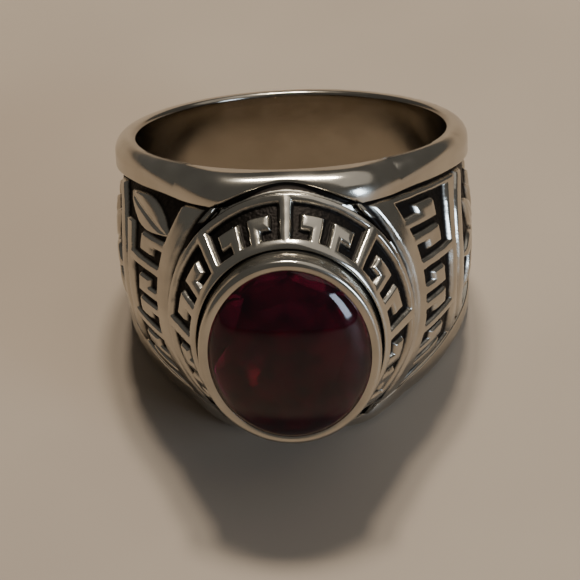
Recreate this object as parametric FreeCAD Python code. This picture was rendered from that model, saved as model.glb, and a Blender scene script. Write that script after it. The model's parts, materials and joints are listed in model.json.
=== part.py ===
"""Men's class ring: one antiqued silver casting and the domed red stone set in its bezel.

The ring lies on its side, as it rests by itself. Z is up, the head points to -Y and the
finger hole runs nearly upright. Every shape is first worked out in the ring's own
directions: x across the finger, n out towards the stone, a along the finger. At the end
the ring is tilted so that its lower rim lies flat on Z = 0. All sizes are millimetres.
"""

import FreeCAD, Part
import math
import os

# Finger hole and shank
BORE_RADIUS = 9.9  # US size 10
RIM_HALF_WIDTH = 6.5  # from the middle of the ring to its rim, level with the hole's centre
RIM_SLOPE_DEG = 14.0  # the ring grows wider from the back towards the head
RIM_ROUND = 0.85

# Outline of the shank seen along the finger: angle from the head, distance from the centre
SHANK_OUTLINE = (
    {"deg": 0, "radius": 12.10},
    {"deg": 20, "radius": 12.50},
    {"deg": 40, "radius": 11.50},
    {"deg": 60, "radius": 11.20},
    {"deg": 80, "radius": 11.30},
    {"deg": 100, "radius": 11.25},
    {"deg": 120, "radius": 11.20},
    {"deg": 140, "radius": 11.15},
    {"deg": 160, "radius": 11.15},
    {"deg": 180, "radius": 11.15},
)

# Side panels: shoulders that swell between the two polished rim bands
BAND_WIDTH = 1.95
RELIEF_DEPTH = 0.4
PANEL_END = -3.9  # the panel's lower corners, past the widest part of the hole
PANEL_POINT = -5.3  # the panel ends in a low point between them
PANEL_SECTIONS = (
    {"n": -6.0, "x_middle": 9.45, "x_edge": 9.40},
    {"n": -3.0, "x_middle": 10.95, "x_edge": 10.75},
    {"n": 1.0, "x_middle": 11.45, "x_edge": 11.15},
    {"n": 5.0, "x_middle": 11.15, "x_edge": 10.10},
    {"n": 8.5, "x_middle": 9.85, "x_edge": 7.75},
    {"n": 12.0, "x_middle": 7.55, "x_edge": 4.60},
)
GROUND_REACH = 0.3  # how far the recessed ground runs in under the bands
PANEL_INNER_X = 3.0

# Crown: the sloping border between the shoulders and the bezel, an oval at every height
FOOT_N = 12.0
FOOT_X = 7.70
FOOT_A = 8.70
TOP_N = 15.4
TOP_X = 5.85
TOP_A = 6.80
ROOT_N = 9.0  # the crown narrows below its foot, inside the shoulders
ROOT_SCALE = 0.8
FOOT_GROOVE = 0.22  # radius of the round groove at the crown's foot
OVAL_SEAM_DEG = 50.0

# Bezel and stone
STONE_X = 5.0
STONE_A = 6.0
STONE_GAP = 0.03
GIRDLE_BOTTOM = 15.75
GIRDLE_TOP = 16.25
DOME_HEIGHT = 2.0
BEZEL_WALL = 0.5
BEZEL_TOP = 16.75
BEZEL_ROUND = 0.25
PAVILION_SIDES = 8
PAVILION_MID_N = 14.2
PAVILION_MID_SCALE = 0.62
CULET_N = 13.2

# Key ornament: outline of one unit, counted in steps along the border and up it.
# Every second unit is mirrored, so that the keys stand in pairs, back to back.
KEY_STEPS_ALONG = 4
KEY_STEPS_UP = 5
KEY_RAIL = 0.8  # plain rails run along the foot and the top of the border
KEY_OUTLINE = (
    {"along": 0.0, "up": 0.0},
    {"along": 4.0, "up": 0.0},
    {"along": 4.0, "up": KEY_RAIL},
    {"along": 0.5, "up": KEY_RAIL},
    {"along": 0.5, "up": 4.2},
    {"along": 2.5, "up": 4.2},
    {"along": 2.5, "up": 3.2},
    {"along": 1.5, "up": 3.2},
    {"along": 1.5, "up": 2.0},
    {"along": 3.5, "up": 2.0},
    {"along": 3.5, "up": 5.0},
    {"along": 0.0, "up": 5.0},
)
CROWN_KEY_UNITS = 16
PANEL_KEY_UNITS = 6
PANEL_KEY_TOP = 11.35
PANEL_KEY_BOTTOM = 7.3
PANEL_KEY_DROP = 2.6  # how much lower the key border starts at the bands
PANEL_MARGIN = 0.3
END_LEAF = {"u": (0.96, 0.70), "v": (0.12, 0.84), "width": 1.7}

# Plain rail below the key border, and the leaf spray under it
RAIL_GAP = 0.35
RAIL_WIDTH = 0.85
RAIL_STEPS = 8
STEM_FOOT = -4.9
STEM_TOP = 3.2
STEM_WIDTH = 0.45
LEAF_PAIRS = 4
LEAF_PITCH = 1.9
LEAF_LENGTH = 4.2
LEAF_WIDTH = 1.4
LEAF_LEAN_DEG = 52.0
TOP_LEAF = (2.5, 5.6)  # the spray ends in one upright leaf between these heights
LEAF_STEPS = 4

OUT = 14.0  # farther than any point of the ring
TILT = math.radians(RIM_SLOPE_DEG)


def vec(x, n, a):
    return FreeCAD.Vector(x, -n, a)


def half_width(n):
    """Distance from the middle of the ring to its rim at the height n."""
    return RIM_HALF_WIDTH + n * math.tan(TILT)


def panel_edge(n):
    return half_width(n) - BAND_WIDTH


def prism(corners, path):
    """Straight solid with a flat outline, drawn out along path."""
    face = Part.Face(Part.makePolygon(corners + corners[:1]))
    return face.extrude(path)


def oval_wire(half_x, half_a, n):
    """Oval in two arcs, which meet between the strokes of the key ornament."""
    oval = Part.Ellipse(vec(0, n, half_a), vec(half_x, n, 0), vec(0, n, 0))
    start = math.radians(OVAL_SEAM_DEG)
    arcs = [oval.toShape(start + turn, start + turn + math.pi) for turn in (0, math.pi)]
    return Part.Wire(arcs)


def oval_loft(rows):
    wires = [oval_wire(half_x, half_a, n) for half_x, half_a, n in rows]
    return Part.makeLoft(wires, True, True)


def finger_hole():
    return Part.makeCylinder(BORE_RADIUS, 2 * OUT, vec(0, 0, -OUT), vec(0, 0, 1))


def shank():
    """Disc with the shank's outline, as wide as the ring and rounded at both rims."""
    right = [(math.radians(row["deg"]), row["radius"]) for row in SHANK_OUTLINE]
    left = [(-angle, radius) for angle, radius in reversed(right[1:-1])]
    points = [vec(r * math.sin(t), r * math.cos(t), -OUT) for t, r in right + left]
    curve = Part.BSplineCurve()
    curve.interpolate(points, PeriodicFlag=True)
    disc = Part.Face(Part.Wire(curve.toShape())).extrude(vec(0, 0, 2 * OUT))
    corners = [
        vec(-OUT, n, side * half_width(n))
        for n, side in ((-OUT, 1), (OUT, 1), (OUT, -1), (-OUT, -1))
    ]
    disc = disc.common(prism(corners, vec(2 * OUT, 0, 0)))
    rims = [edge for edge in disc.Edges if edge.Length > 4 * OUT]
    return disc.makeFillet(RIM_ROUND, rims)


def panel_block(side, sink, reach):
    """One shoulder's block; its outer face lies sink under the level of the raised tops."""
    wires = []
    for row in PANEL_SECTIONS:
        n = row["n"]
        a = panel_edge(n) + reach
        edge = side * (row["x_edge"] - sink)
        middle = side * (row["x_middle"] - sink)
        inner = side * PANEL_INNER_X
        outer = Part.Arc(vec(edge, n, -a), vec(middle, n, 0), vec(edge, n, a)).toShape()
        rest = Part.makePolygon(
            [vec(edge, n, a), vec(inner, n, a), vec(inner, n, -a), vec(edge, n, -a)]
        )
        wires.append(Part.Wire([outer] + rest.Edges))
    return Part.makeLoft(wires, True, False)


def side_prism(side, outline):
    """Prism across one shoulder, with an outline of (n, a) points."""
    corners = [vec(side * PANEL_INNER_X, n, a) for n, a in outline]
    return prism(corners, vec(side * OUT, 0, 0))


def panel_opening(side):
    """Region of one side panel between the bands, from its lower end up to the crown."""
    ends = ((PANEL_END, 1), (FOOT_N, 1), (FOOT_N, -1), (PANEL_END, -1))
    outline = [(n, sign * panel_edge(n)) for n, sign in ends]
    return side_prism(side, outline + [(PANEL_POINT, 0)])


def border_foot(u):
    """Height where the panel's key border starts, u running from -1 to 1 between the bands."""
    return PANEL_KEY_BOTTOM - PANEL_KEY_DROP * u * u


def panel_point(u, v):
    """Point (n, a) of the panel's key border, v running from 0 at its foot to 1 at its top."""
    foot = border_foot(u)
    n = foot + v * (PANEL_KEY_TOP - foot)
    return n, u * (panel_edge(n) - PANEL_MARGIN)


def key_unit(unit, units):
    """Outline of one key unit, as shares of the whole border along and up."""
    for row in KEY_OUTLINE:
        along = row["along"] / KEY_STEPS_ALONG
        if unit % 2:
            along = 1 - along
        yield (unit + along) / units, row["up"] / KEY_STEPS_UP


def leaf(root, tip, width):
    """Pointed leaf between two (n, a) points, as an outline."""
    along_n = tip[0] - root[0]
    along_a = tip[1] - root[1]
    length = math.hypot(along_n, along_a)
    outline = []
    for step in range(2 * LEAF_STEPS):
        going = step < LEAF_STEPS
        share = step / LEAF_STEPS if going else 2 - step / LEAF_STEPS
        across = math.sin(math.pi * share) * width / 2 * (1 if going else -1)
        n = root[0] + share * along_n - across * along_a / length
        a = root[1] + share * along_a + across * along_n / length
        outline.append((n, a))
    return outline


def rail_outline():
    """Plain raised strip that follows the foot of the key border."""
    shares = [2 * step / RAIL_STEPS - 1 for step in range(RAIL_STEPS + 1)]
    outline = []
    for drop, row in ((RAIL_GAP, shares), (RAIL_GAP + RAIL_WIDTH, shares[::-1])):
        for u in row:
            n = border_foot(u) - drop
            outline.append((n, u * (panel_edge(n) - PANEL_MARGIN)))
    return outline


def top_rail_outline():
    """Rail that closes the key border along the foot of the crown."""
    low = 1 - KEY_RAIL / KEY_STEPS_UP
    return [panel_point(u, v) for u, v in ((-1, low), (1, low), (1, 1), (-1, 1))]


def spray_outlines():
    """Stem along the middle of the side, with pairs of leaves that rise away from it."""
    half = STEM_WIDTH / 2
    yield [(STEM_FOOT, -half), (STEM_TOP, -half), (STEM_TOP, half), (STEM_FOOT, half)]
    yield leaf((TOP_LEAF[0], 0), (TOP_LEAF[1], 0), LEAF_WIDTH)
    lean = math.radians(LEAF_LEAN_DEG)
    for pair in range(LEAF_PAIRS):
        root_n = STEM_FOOT + LEAF_PITCH * (pair + 0.5)
        for sign in (1, -1):
            tip = (
                root_n + LEAF_LENGTH * math.cos(lean),
                sign * LEAF_LENGTH * math.sin(lean),
            )
            yield leaf((root_n, 0), tip, LEAF_WIDTH)


def panel_ornament(side):
    """Raised key border, rail and leaf spray; the left border ends in a leaf at the top."""
    outlines = [rail_outline(), top_rail_outline()]
    outlines.extend(spray_outlines())
    units = PANEL_KEY_UNITS
    if side < 0:
        units -= 1
        (root_u, tip_u), (root_v, tip_v) = END_LEAF["u"], END_LEAF["v"]
        root, tip = panel_point(root_u, root_v), panel_point(tip_u, tip_v)
        outlines.append(leaf(root, tip, END_LEAF["width"]))
    for unit in range(units):
        outline = [panel_point(2 * u - 1, v) for u, v in key_unit(unit, PANEL_KEY_UNITS)]
        outlines.append(outline)
    tops = panel_block(side, 0, 0)
    return [tops.common(side_prism(side, outline)) for outline in outlines]


def crown_half(n):
    """Half sizes of the crown's oval at the height n, on the level of the raised tops."""
    share = (n - FOOT_N) / (TOP_N - FOOT_N)
    return FOOT_X + share * (TOP_X - FOOT_X), FOOT_A + share * (TOP_A - FOOT_A)


def crown_block(sink):
    """Solid of the crown; its slope and its top lie sink under the raised tops."""
    slope = math.atan2(TOP_N - FOOT_N, FOOT_X - TOP_X)
    inset = sink / math.sin(slope)
    rows = [(FOOT_X * ROOT_SCALE, FOOT_A * ROOT_SCALE, ROOT_N)]
    for n in (FOOT_N, TOP_N - sink):
        half_x, half_a = crown_half(n)
        rows.append((half_x - inset, half_a - inset, n))
    return oval_loft(rows)


def crown_ornament():
    """Raised key units around the slope, each cut square to the slope's own direction."""
    tops = crown_block(0)
    pieces = []
    for unit in range(CROWN_KEY_UNITS):
        middle = 2 * math.pi * (unit + 0.5) / CROWN_KEY_UNITS
        outward = vec(math.sin(middle) / FOOT_X, 0, math.cos(middle) / FOOT_A).normalize()
        tangent = outward.cross(vec(0, 1, 0))
        outline = []
        for along, up in key_unit(unit, CROWN_KEY_UNITS):
            angle = 2 * math.pi * along
            n = FOOT_N + up * (TOP_N - FOOT_N) if up else FOOT_N - RELIEF_DEPTH
            half_x, half_a = crown_half(n)
            point = vec(half_x * math.sin(angle), n, half_a * math.cos(angle))
            centre = vec(0, n, 0)
            outline.append(centre + tangent * (point - centre).dot(tangent) + outward * TOP_X / 2)
        pieces.append(tops.common(prism(outline, outward * OUT)))
    rail_n = TOP_N - (TOP_N - FOOT_N) * KEY_RAIL / KEY_STEPS_UP
    corners = [vec(x, rail_n, a) for x, a in ((-OUT, -OUT), (OUT, -OUT), (OUT, OUT), (-OUT, OUT))]
    pieces.append(tops.common(prism(corners, vec(0, OUT, 0))))
    return pieces


def foot_groove():
    """Round channel along the foot of the crown."""
    path = oval_wire(FOOT_X, FOOT_A, FOOT_N)
    start = vec(0, FOOT_N, FOOT_A)
    section = Part.Wire(Part.Circle(start, vec(1, 0, 0), FOOT_GROOVE).toShape())
    return path.makePipeShell([section], True, True)


def bezel():
    half_x, half_a = STONE_X + BEZEL_WALL, STONE_A + BEZEL_WALL
    wall = oval_loft([(half_x, half_a, ROOT_N), (half_x, half_a, BEZEL_TOP)])
    top = [edge for edge in wall.Edges if abs(edge.CenterOfMass.y + BEZEL_TOP) < STONE_GAP]
    return wall.makeFillet(BEZEL_ROUND, top)


def stone(gap):
    """Domed oval stone with a faceted back, enlarged by gap on every side."""
    half_x, half_a = STONE_X + gap, STONE_A + gap
    low, high = GIRDLE_BOTTOM - gap, GIRDLE_TOP
    girdle = oval_loft([(half_x, half_a, low), (half_x, half_a, high)])
    dome = Part.makeSphere(1, FreeCAD.Vector(), vec(0, 1, 0), 0, 90)
    stretch = FreeCAD.Matrix()
    stretch.scale(half_x, DOME_HEIGHT + gap, half_a)
    dome = dome.transformGeometry(stretch)
    dome.translate(vec(0, high, 0))
    return girdle.fuse([dome, pavilion(gap)]).removeSplitter()


def pavilion(gap):
    """Back of the stone: two rows of flat facets that meet in a point."""
    rim = PAVILION_SIDES * 2
    outer = []
    for corner in range(rim):
        angle = 2 * math.pi * corner / rim
        x = (STONE_X + gap) * math.sin(angle)
        a = (STONE_A + gap) * math.cos(angle)
        outer.append(vec(x, GIRDLE_BOTTOM - gap, a))
    inner = []
    for corner in range(PAVILION_SIDES):
        angle = 2 * math.pi * corner / PAVILION_SIDES
        x = (STONE_X + gap) * PAVILION_MID_SCALE * math.sin(angle)
        a = (STONE_A + gap) * PAVILION_MID_SCALE * math.cos(angle)
        inner.append(vec(x, PAVILION_MID_N - gap, a))
    culet = vec(0, CULET_N - 2 * gap, 0)
    facets = [outer]
    for corner in range(PAVILION_SIDES):
        here, following = inner[corner], inner[(corner + 1) % PAVILION_SIDES]
        first, middle = outer[2 * corner], outer[2 * corner + 1]
        last = outer[(2 * corner + 2) % rim]
        facets.extend([[first, middle, here], [here, middle, following], [middle, last, following]])
        facets.append([here, following, culet])
    faces = [Part.Face(Part.makePolygon(facet + facet[:1])) for facet in facets]
    return Part.makeSolid(Part.makeShell(faces))


def ring_body():
    body = shank().cut([panel_opening(side) for side in (1, -1)])
    pieces = [crown_block(RELIEF_DEPTH), bezel()]
    pieces.extend(crown_ornament())
    for side in (1, -1):
        pieces.append(panel_block(side, RELIEF_DEPTH, GROUND_REACH))
        pieces.extend(panel_ornament(side))
    body = body.fuse(pieces)
    return body.cut([finger_hole(), foot_groove(), stone(STONE_GAP)])


def lie_down(shapes):
    """Tilt the ring so that its lower rim lies flat, and set it down around the origin."""
    whole = FreeCAD.BoundBox()
    for shape in shapes:
        shape.rotate(FreeCAD.Vector(), vec(1, 0, 0), -RIM_SLOPE_DEG)
        whole.add(shape.optimalBoundingBox())
    centre = FreeCAD.Vector(0, -whole.Center.y, RIM_HALF_WIDTH * math.cos(TILT))
    for shape in shapes:
        shape.translate(centre)
    print(f"centre of the finger hole: {centre}")


def main():
    os.makedirs("parts", exist_ok=True)
    nodes = {"ring_body": ring_body(), "stone": stone(0)}
    lie_down(nodes.values())
    for name, shape in nodes.items():
        shape.exportStep(f"parts/{name}.step")
        print(f"{name}: {len(shape.Solids)} solid, {shape.Volume:.1f} cubic mm")


main()
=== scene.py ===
# %% [markdown]
# A man's class ring, lying on its side
#
# The ring is one thick silver casting with an oval red stone. Its two rims are polished, the
# shoulders and the sloping border round the stone carry a raised ornament, and everything
# that lies low has been blackened. This lesson builds each surface as a grid of points, works
# out how high every point stands, and then lets one silver material read that height.
#
# The first cell loads the packed model. Everything after it is placed in that same frame, in
# metres, and nothing of the packed model is moved.

# %% Load the frame
import json
import math

import bmesh
import bpy
import numpy as np
from mathutils import Matrix, Vector


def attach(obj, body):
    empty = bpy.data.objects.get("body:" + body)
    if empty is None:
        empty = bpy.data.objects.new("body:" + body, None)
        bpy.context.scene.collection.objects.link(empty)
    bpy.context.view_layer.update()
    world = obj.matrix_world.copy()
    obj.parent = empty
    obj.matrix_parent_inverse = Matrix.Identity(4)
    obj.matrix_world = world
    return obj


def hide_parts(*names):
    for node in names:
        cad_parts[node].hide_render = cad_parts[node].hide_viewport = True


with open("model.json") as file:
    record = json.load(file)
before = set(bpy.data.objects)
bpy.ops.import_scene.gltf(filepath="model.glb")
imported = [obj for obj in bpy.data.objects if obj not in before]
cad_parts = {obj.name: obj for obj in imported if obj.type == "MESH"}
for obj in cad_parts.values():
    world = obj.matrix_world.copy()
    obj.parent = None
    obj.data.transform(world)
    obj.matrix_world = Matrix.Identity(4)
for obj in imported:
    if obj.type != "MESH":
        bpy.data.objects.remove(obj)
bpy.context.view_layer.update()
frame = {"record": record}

# %% [markdown]
# The ring's own directions
#
# A ring is easiest to think of from its finger hole: x runs across the finger, n runs out
# towards the stone and a runs along the finger. The record's finger hole gives the centre
# and the axis, so the ring can be shaped upright, in millimetres, and set down as it lies.

# %% Place the ring's own directions
MM = 0.001
HOLE = next(mount for mount in frame["record"]["mounts"] if mount["name"] == "finger_hole")
CENTRE = np.array(HOLE["pos_m"])
ALONG = np.array(HOLE["axis"]) / np.linalg.norm(HOLE["axis"])
ACROSS = np.array([1.0, 0.0, 0.0])
OUTWARD = np.cross(ACROSS, ALONG)
TILT = math.atan2(ALONG[1], ALONG[2])


def place(x, n, a):
    """Points in the frame, in metres, from the ring's own directions in millimetres."""
    own = np.stack(np.broadcast_arrays(x, n, a), -1)
    return CENTRE + MM * (own @ np.array([ACROSS, OUTWARD, ALONG]))


print(f"finger hole {2 * HOLE['dims']['r_mm']} mm wide, tilted {math.degrees(TILT):.1f} degrees")

# %% [markdown]
# The camera
#
# The photograph looks down at the ring by about 46 degrees, a little from the right, and the
# phone was held slightly turned. The camera goes in first, because every later choice is
# compared with the photograph through it. Its distance was fitted to the outline of the
# finger hole, the bezel and the panel edges, together with the focal length.

# %% Set the camera
VIEW_ELEVATION = math.radians(45.56)
VIEW_AZIMUTH = math.radians(3.44)
VIEW_ROLL = math.radians(4.06)
VIEW_DISTANCE = 0.150
VIEW_LENS = 150.4
VIEW_TARGET = Vector((-0.00012, -0.00611, 0.0090))
SENSOR_WIDTH = 36.0
NEAREST_SEEN = 0.005


def camera_axes():
    """Right, up and back of a camera that looks from the photograph's side."""
    flat = math.cos(VIEW_ELEVATION)
    back = Vector((
        math.sin(VIEW_AZIMUTH) * flat,
        -math.cos(VIEW_AZIMUTH) * flat,
        math.sin(VIEW_ELEVATION),
    ))
    right = Vector((math.cos(VIEW_AZIMUTH), math.sin(VIEW_AZIMUTH), 0.0))
    up = back.cross(right)
    turned_right = right * math.cos(VIEW_ROLL) - up * math.sin(VIEW_ROLL)
    turned_up = right * math.sin(VIEW_ROLL) + up * math.cos(VIEW_ROLL)
    return turned_right, turned_up, back


right, up, back = camera_axes()
camera_data = bpy.data.cameras.new("photo_camera")
camera_data.lens = VIEW_LENS
camera_data.sensor_width = SENSOR_WIDTH
camera_data.clip_start = NEAREST_SEEN
camera = bpy.data.objects.new("photo_camera", camera_data)
bpy.context.scene.collection.objects.link(camera)
camera.matrix_world = Matrix.Translation(VIEW_TARGET + back * VIEW_DISTANCE) @ (
    Matrix((right, up, back)).transposed().to_4x4()
)
bpy.context.scene.camera = camera
print("camera stands", round(camera.location.z * 1000), "mm above the floor")

# %% [markdown]
# Sizes of the casting
#
# These are the casting's driving sizes in millimetres, the same that the packed model was
# built from. The shank is given as a jeweller would measure it: how far the wall stands
# from the finger's axis at each angle from the head. The shoulders are given as sections.

# %% Name the sizes of the shank and the shoulders
BORE = HOLE["dims"]["r_mm"]
RIM_HALF_WIDTH = 6.5
BAND_WIDTH = 1.95
RELIEF_DEPTH = 0.40
SHANK_RADII = (12.10, 12.50, 11.50, 11.20, 11.30, 11.25, 11.20, 11.15, 11.15, 11.15)
SHANK_STEP = math.radians(20)
LEAST_SAG = 0.01
SHOULDER_SECTIONS = (
    {"n": -6.0, "x_middle": 9.45, "x_edge": 9.40},
    {"n": -3.0, "x_middle": 10.95, "x_edge": 10.75},
    {"n": 1.0, "x_middle": 11.45, "x_edge": 11.15},
    {"n": 5.0, "x_middle": 11.15, "x_edge": 10.10},
    {"n": 8.5, "x_middle": 9.85, "x_edge": 7.75},
    {"n": 12.0, "x_middle": 7.55, "x_edge": 4.60},
)


def half_width(n):
    """Distance from the middle of the ring to its rim, at the height n."""
    return RIM_HALF_WIDTH + n * math.tan(TILT)


def panel_edge(n):
    """Where the ornament ends and the polished band begins."""
    return half_width(n) - BAND_WIDTH


widths = [round(2 * half_width(n), 1) for n in (BORE, -BORE)]
print("the ring is", widths[0], "mm wide at the head and", widths[1], "mm at the back")

# %% [markdown]
# Smooth curves through a few sizes
#
# A few measured sizes are enough when a smooth curve runs through them. One small helper
# serves the shank's outline and the shoulders: it joins the values with cubic pieces. A
# spline object could do the same, but here the curve is needed as plain numbers. Beside it
# stands a soft step, which is used wherever an edge or a colour should not change abruptly.

# %% Draw smooth curves through named sizes


def smooth_curve(places, values, at):
    """Values of a smooth curve through the given places, read at many others."""
    places, values = np.asarray(places, float), np.asarray(values, float)
    slopes = np.gradient(values, places)
    index = np.clip(np.searchsorted(places, at) - 1, 0, len(places) - 2)
    gap = places[index + 1] - places[index]
    t = np.clip((at - places[index]) / gap, 0, 1)
    start, end = values[index], values[index + 1]
    leave, arrive = slopes[index] * gap, slopes[index + 1] * gap
    blend = t * t * (3 - 2 * t)
    return start + blend * (end - start) + t * (1 - t) ** 2 * leave - t * t * (1 - t) * arrive


def soft_step(value, low=0.0, high=1.0):
    """Rises smoothly from 0 to 1 while value goes from low to high."""
    t = np.clip((value - low) / (high - low), 0, 1)
    return t * t * (3 - 2 * t)


def band_radius(turn):
    """Distance of the polished band from the finger's axis, at an angle from the head."""
    last = len(SHANK_RADII) - 1
    steps = range(-2, last + 3)
    radii = [SHANK_RADII[last - abs(last - abs(step))] for step in steps]
    turn = np.abs((turn + np.pi) % (2 * np.pi) - np.pi)
    return smooth_curve([step * SHANK_STEP for step in steps], radii, turn)


def shoulder_x(n, a):
    """How far a shoulder stands out across the finger: each section is a shallow arc."""
    levels = [row["n"] for row in SHOULDER_SECTIONS]
    middle = smooth_curve(levels, [row["x_middle"] for row in SHOULDER_SECTIONS], n)
    edge = smooth_curve(levels, [row["x_edge"] for row in SHOULDER_SECTIONS], n)
    sag = np.maximum(middle - edge, LEAST_SAG)
    arc = (panel_edge(n) ** 2 + sag**2) / (2 * sag)
    return middle - (arc - np.sqrt(arc**2 - a**2))


for degrees in (0, 90, 180):
    print(degrees, "degrees from the head:", round(float(band_radius(np.radians(degrees))), 2), "mm out")

# %% [markdown]
# Turning a grid of points into a mesh
#
# Every metal piece here is a grid: rows run one way over its surface, columns the other. A
# primitive with modifiers could start each piece, but then the ornament could only be bump.
# With a grid each point can be lifted exactly as high as the casting is there. The grid
# also carries a number for each point, from 0 in a blackened recess to 1 on a worn top,
# and the silver material reads it later.

# %% Build closed meshes from grids


def grid_faces(rows, columns, wrap_rows, wrap_columns):
    """Corner numbers of the four-sided faces between neighbouring points of a grid."""
    number = np.arange(rows * columns).reshape(rows, columns)
    if wrap_rows:
        number = np.vstack([number, number[:1]])
    if wrap_columns:
        number = np.hstack([number, number[:, :1]])
    corners = number[:-1, :-1], number[1:, :-1], number[1:, 1:], number[:-1, 1:]
    return np.stack([corner.ravel() for corner in corners], -1)


def number_points(mesh, name, values, shape):
    """Store one number for each point of a grid, where a material can read it."""
    store = mesh.attributes.new(name, "FLOAT", "POINT")
    store.data.foreach_set("value", np.broadcast_to(values, shape).ravel().astype(np.float32))


def metal_piece(name, points, relief, tarnish=0.0, wrap_rows=True, wrap_columns=True):
    """Smooth mesh from a grid of (x, n, a) points; open ends are closed with one face."""
    rows, columns = points.shape[:2]
    faces = grid_faces(rows, columns, wrap_rows, wrap_columns).tolist()
    if not wrap_rows:
        faces.append(list(range(columns)))
        faces.append(list(range((rows - 1) * columns, rows * columns)))
    mesh = bpy.data.meshes.new(name)
    mesh.from_pydata(place(points[..., 0], points[..., 1], points[..., 2]).reshape(-1, 3), [], faces)
    number_points(mesh, "relief", relief, (rows, columns))
    # The second number is painted shade, 0 on every piece but the finger hole
    number_points(mesh, "tarnish", tarnish, (rows, columns))
    shape = bmesh.new()
    shape.from_mesh(mesh)
    bmesh.ops.remove_doubles(shape, verts=shape.verts, dist=MM / 1000)
    bmesh.ops.recalc_face_normals(shape, faces=shape.faces)
    shape.to_mesh(mesh)
    shape.free()
    mesh.shade_smooth()
    piece = bpy.data.objects.new(name, mesh)
    bpy.context.scene.collection.objects.link(piece)
    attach(piece, "root")
    print(f"{name}: {len(mesh.polygons)} faces")
    return piece


print("a closed grid of 6 by 4 points has", len(grid_faces(6, 4, True, True)), "faces")

# %% [markdown]
# The head's sizes
#
# The crown is the sloping border that carries the stone. It is an oval at every height, and
# the bezel stands on its top. The foot of the crown ends in a fine blackened channel, so
# the shank and the shoulders already need to know where that foot runs.

# %% Name the sizes of the crown, the bezel and the stone
FOOT = {"x": 7.70, "a": 8.70, "n": 12.0}
TOP = {"x": 5.85, "a": 6.80, "n": 15.4}
CHANNEL_DEPTH = 0.28
CHANNEL_REACH = 0.32
CHANNEL_BLACK = 0.7
LEAST_SHARE = 0.01
STONE_X, STONE_A = 5.0, 6.0
STONE_GAP = 0.03
GIRDLE_BOTTOM, GIRDLE_TOP = 15.75, 16.25
DOME_HEIGHT = 2.0
BEZEL_WALL = 0.5
BEZEL_TOP = 16.75


def channel_depth(x, a):
    """Depth of the channel along the crown's foot, at a point beside it."""
    share = np.hypot(x / FOOT["x"], a / FOOT["a"])
    away = (share - 1) * np.hypot(x, a) / np.maximum(share, LEAST_SHARE)
    return CHANNEL_DEPTH * (1 - soft_step(np.abs(away), 0, CHANNEL_REACH))


def channel_relief(depth):
    """Brightness of a point in the channel: 1 beside it, 0 where it is deep."""
    return 1 - soft_step(depth, 0.0, CHANNEL_BLACK * CHANNEL_DEPTH)


print("bezel", 2 * (STONE_X + BEZEL_WALL), "by", 2 * (STONE_A + BEZEL_WALL), "mm")

# %% [markdown]
# The shank
#
# The shank is the hoop itself: the finger hole, the two flat rims and the polished bands
# between the rims and the ornament. It was cast with the rest, then filed and buffed, so its
# edges are round and soft. A turned profile would be the usual way, but the rims slope, so
# the ring is wider at the head. Instead one profile is worked out for every angle: up the
# hole, over its edge, across the rim, round the corner and back over the outside. Where the
# ornament sits, the outside is sunk, and the side panels fill that place.

# %% Shape the shank
# How many points each part of the profile gets
HOLE_COLUMNS = 8
HOLE_CORNER_COLUMNS = 6
CORNER_COLUMNS = 28
BAND_COLUMNS = 6
LIP_COLUMNS = 5
BURIED_COLUMNS = 25
# Rows stand closer where the crown and the panels' low ends need a crisp border
ROW_SPACING = (
    {"from": 0, "to": 44, "rows": 132},
    {"from": 44, "to": 106, "rows": 58},
    {"from": 106, "to": 122, "rows": 48},
    {"from": 122, "to": 180, "rows": 48},
)
# Roundings; the rim's grows with the cosine of the angle from the head
HOLE_ROUND = 0.26
RIM_ROUND_BACK, RIM_ROUND_HEAD = 0.80, 1.40
ROUND_GROWS = (-0.2, 0.8)
RIM_FLAT = 0.08
BAND_EDGE_ROUND = 0.16
LIP_SPREAD = 0.004
# The part that the panels cover: how far out it lies, and how deep it looks black
BURIED_RADIUS = 10.45
BURIED_SHORT = 0.02
BLACK_DEPTH = 0.3
PANEL_CORNER_N, PANEL_POINT_N = -3.9, -5.3
BEND_REACH = math.radians(40)
STEP_TURN = math.radians(1.3)
# Heights n between which a change comes in or fades
CHANNEL_STARTS = (10.8, 11.5)
UNSUNK_AT_HEAD = (10.9, 11.5)
LIP_FADES = (8.0, 10.2)
# The finger hole gets painted shade, darker than the outside, up to a little way over its edge
HOLE_PAINTED_SHADE = 0.85
HOLE_SHADE_ENDS = (0.1, 0.5)


def panel_end(share):
    """Height where a panel begins; its lower end is a low point between two corners."""
    return PANEL_POINT_N + (PANEL_CORNER_N - PANEL_POINT_N) * np.abs(share)


def corner(turn, centre, radius, share):
    """Round corner at the rim; share 0 faces outwards, a half the rim, 1 the finger hole."""
    slope = np.cos(turn) * math.tan(TILT)
    angle = (np.pi / 2 + np.arctan(slope)) * np.clip(2 * share, 0, 1)
    angle = angle + (np.pi / 2 - np.arctan(slope)) * np.clip(2 * share - 1, 0, 1)
    height = RIM_HALF_WIDTH + slope * centre - radius * np.sqrt(1 + slope**2)
    return centre + radius * np.cos(angle), height + radius * np.sin(angle)


def sunk_part(turn, share):
    """Middle of the outside, sunk under the panels; its rows bend to follow their low ends."""
    corner_turn = math.acos(PANEL_CORNER_N / BORE)
    bend = math.acos(PANEL_POINT_N / BORE) - corner_turn
    side = np.where(turn > np.pi, -1, 1)
    own = np.where(turn > np.pi, 2 * np.pi - turn, turn)
    near = 1 - soft_step(np.abs(own - corner_turn), 0, BEND_REACH)
    angle = turn + side * bend * (1 - share) * near
    outside = band_radius(angle)
    sunk = 1 - soft_step(own, corner_turn - STEP_TURN, corner_turn)
    sunk = sunk * (1 - soft_step(outside * np.cos(turn), *UNSUNK_AT_HEAD))
    return angle, outside + (BURIED_RADIUS - outside) * sunk, sunk


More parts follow.
